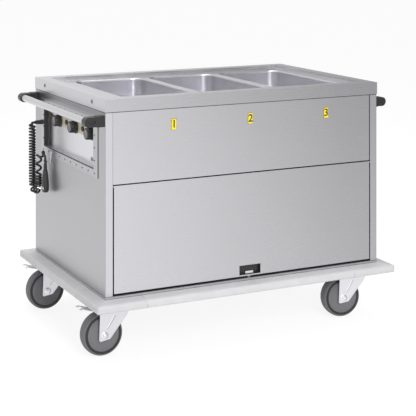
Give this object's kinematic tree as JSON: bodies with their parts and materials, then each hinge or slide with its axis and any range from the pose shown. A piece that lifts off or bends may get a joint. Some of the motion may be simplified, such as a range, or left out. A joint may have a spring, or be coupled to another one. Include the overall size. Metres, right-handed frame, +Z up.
{
  "type": "hot food serving trolley",
  "caption": "Mobile heated serving trolley with deep wells in a stainless top, a cupboard with a lift-up flap, end handles, wrap-round bumper, braked swivel castors and a curly mains lead.",
  "frame": {"origin": "on the floor under the middle of the overall box, lead and plug left out", "axes": "+X along the trolley from the push handle to the grab rail, +Y from the flap side to the back, +Z up"},
  "size_m": [1.33, 0.819, 0.945],
  "materials": {
    "stainless": "brushed stainless sheet, satin grain",
    "well_steel": "deep-drawn stainless, satin",
    "panel_steel": "brushed stainless panel sheet",
    "inner_steel": "plain stainless sheet inside",
    "heater_plate": "matt heating plate",
    "chassis_steel": "grey painted steel",
    "bumper_grey": "light grey moulded plastic",
    "bumper_corner_grey": "light grey moulded plastic",
    "black_plastic": "black moulded plastic, fine texture",
    "knob_black": "black moulded plastic with grey face",
    "tube_grey": "satin silver-grey tube",
    "scale_cream": "cream printed scale",
    "zinc": "bright zinc-plated pressing",
    "hub_grey": "light grey plastic wheel centre",
    "tyre_grey": "grey non-marking rubber",
    "valve_brass": "nickel-plated brass",
    "lever_red": "red painted lever",
    "cord_black": "black rubber sheath",
    "plug_black": "black rubber plug",
    "latch_steel": "bright latch bolt"
  },
  "bodies": {
    "cabinet": {"worktop": "stainless", "well_1": "well_steel", "well_2": "well_steel", "well_3": "well_steel", "heating_plates": "heater_plate", "left_end_panel": "panel_steel", "right_end_panel": "panel_steel", "rear_panel": "panel_steel", "corner_posts": "stainless", "flap_hinge_pins": "latch_steel", "upper_front_panel": "panel_steel", "base_strips": "stainless", "cupboard_floor": "inner_steel", "well_bay_floor": "inner_steel", "chassis_frame": "chassis_steel", "bumper_rails": "bumper_grey", "bumper_corners": "bumper_corner_grey", "control_cover": "stainless", "control_panel": "stainless", "knob_scale": "scale_cream", "thermostats": "inner_steel", "left_handle_brackets": "black_plastic", "right_handle_brackets": "black_plastic", "left_handle_tube": "tube_grey", "right_handle_tube": "tube_grey", "castor_plates": "zinc", "drain_pipe": "inner_steel", "drain_valve": "valve_brass", "cord_gland": "black_plastic", "curly_cord": "cord_black", "mains_plug": "plug_black", "plug_hook": "stainless"},
    "flap": {"front_flap": "panel_steel", "latch_cup": "black_plastic"},
    "latch": {"latch_bolt": "latch_steel"},
    "drain_handle": {"drain_lever": "lever_red"},
    "control_knob_1": {"knob_1": "knob_black"},
    "control_knob_2": {"knob_2": "knob_black"},
    "control_knob_3": {"knob_3": "knob_black"},
    "castor_front_left_swivel": {"castor_front_left_fork": "zinc"},
    "castor_front_left_wheel": {"castor_front_left_hub": "hub_grey", "castor_front_left_tyre": "tyre_grey"},
    "castor_front_left_brake": {"castor_front_left_pedal": "zinc"},
    "castor_front_right_swivel": {"castor_front_right_fork": "zinc"},
    "castor_front_right_wheel": {"castor_front_right_hub": "hub_grey", "castor_front_right_tyre": "tyre_grey"},
    "castor_front_right_brake": {"castor_front_right_pedal": "zinc"},
    "castor_rear_left_swivel": {"castor_rear_left_fork": "zinc"},
    "castor_rear_left_wheel": {"castor_rear_left_hub": "hub_grey", "castor_rear_left_tyre": "tyre_grey"},
    "castor_rear_left_brake": {"castor_rear_left_pedal": "zinc"},
    "castor_rear_right_swivel": {"castor_rear_right_fork": "zinc"},
    "castor_rear_right_wheel": {"castor_rear_right_hub": "hub_grey", "castor_rear_right_tyre": "tyre_grey"},
    "castor_rear_right_brake": {"castor_rear_right_pedal": "zinc"}
  },
  "joints": [
    {"name": "flap_hinge", "type": "hinge", "parent": "cabinet", "child": "flap", "pos_m": [0.013, -0.3505, 0.6256], "axis": [1, 0, 0], "range_deg": [-90, 0]},
    {"name": "latch_slide", "type": "slide", "parent": "flap", "child": "latch", "axis": [0, 0, 1], "range_m": [0, 0.008]},
    {"name": "drain_turn", "type": "hinge", "parent": "cabinet", "child": "drain_handle", "pos_m": [0.443, 0.2679, 0.585], "axis": [0, 1, 0], "range_deg": [-90, 0]},
    {"name": "knob_1_turn", "type": "hinge", "parent": "cabinet", "child": "control_knob_1", "pos_m": [-0.582, 0.126, 0.797], "axis": [1, 0, 0], "range_deg": [0, 270]},
    {"name": "knob_2_turn", "type": "hinge", "parent": "cabinet", "child": "control_knob_2", "pos_m": [-0.582, -0.037, 0.797], "axis": [1, 0, 0], "range_deg": [0, 270]},
    {"name": "knob_3_turn", "type": "hinge", "parent": "cabinet", "child": "control_knob_3", "pos_m": [-0.582, -0.2, 0.797], "axis": [1, 0, 0], "range_deg": [0, 270]},
    {"name": "castor_front_left_turn", "type": "hinge", "parent": "cabinet", "child": "castor_front_left_swivel", "pos_m": [-0.516, -0.2865, 0.18], "axis": [0, 0, 1], "continuous": true},
    {"name": "castor_front_left_roll", "type": "hinge", "parent": "castor_front_left_swivel", "child": "castor_front_left_wheel", "pos_m": [-0.571, -0.2865, 0.08], "axis": [0, 1, 0], "continuous": true},
    {"name": "castor_front_left_press", "type": "hinge", "parent": "castor_front_left_swivel", "child": "castor_front_left_brake", "pos_m": [-0.576, -0.2865, 0.169], "axis": [0, -1, 0], "range_deg": [0, 10]},
    {"name": "castor_front_right_turn", "type": "hinge", "parent": "cabinet", "child": "castor_front_right_swivel", "pos_m": [0.542, -0.2865, 0.18], "axis": [0, 0, 1], "continuous": true},
    {"name": "castor_front_right_roll", "type": "hinge", "parent": "castor_front_right_swivel", "child": "castor_front_right_wheel", "pos_m": [0.48741, -0.2798, 0.08], "axis": [0.1219, 0.9925, 0], "continuous": true},
    {"name": "castor_front_right_press", "type": "hinge", "parent": "castor_front_right_swivel", "child": "castor_front_right_brake", "pos_m": [0.48245, -0.27919, 0.169], "axis": [-0.1219, -0.9925, 0], "range_deg": [0, 10]},
    {"name": "castor_rear_left_turn", "type": "hinge", "parent": "cabinet", "child": "castor_rear_left_swivel", "pos_m": [-0.516, 0.2865, 0.18], "axis": [0, 0, 1], "continuous": true},
    {"name": "castor_rear_left_roll", "type": "hinge", "parent": "castor_rear_left_swivel", "child": "castor_rear_left_wheel", "pos_m": [-0.571, 0.2865, 0.08], "axis": [0, 1, 0], "continuous": true},
    {"name": "castor_rear_left_press", "type": "hinge", "parent": "castor_rear_left_swivel", "child": "castor_rear_left_brake", "pos_m": [-0.576, 0.2865, 0.169], "axis": [0, -1, 0], "range_deg": [0, 10]},
    {"name": "castor_rear_right_turn", "type": "hinge", "parent": "cabinet", "child": "castor_rear_right_swivel", "pos_m": [0.542, 0.2865, 0.18], "axis": [0, 0, 1], "continuous": true},
    {"name": "castor_rear_right_roll", "type": "hinge", "parent": "castor_rear_right_swivel", "child": "castor_rear_right_wheel", "pos_m": [0.48713, 0.28266, 0.08], "axis": [-0.0698, 0.9976, 0], "continuous": true},
    {"name": "castor_rear_right_press", "type": "hinge", "parent": "castor_rear_right_swivel", "child": "castor_rear_right_brake", "pos_m": [0.48215, 0.28231, 0.169], "axis": [0.0698, -0.9976, 0], "range_deg": [0, 10]}
  ]
}
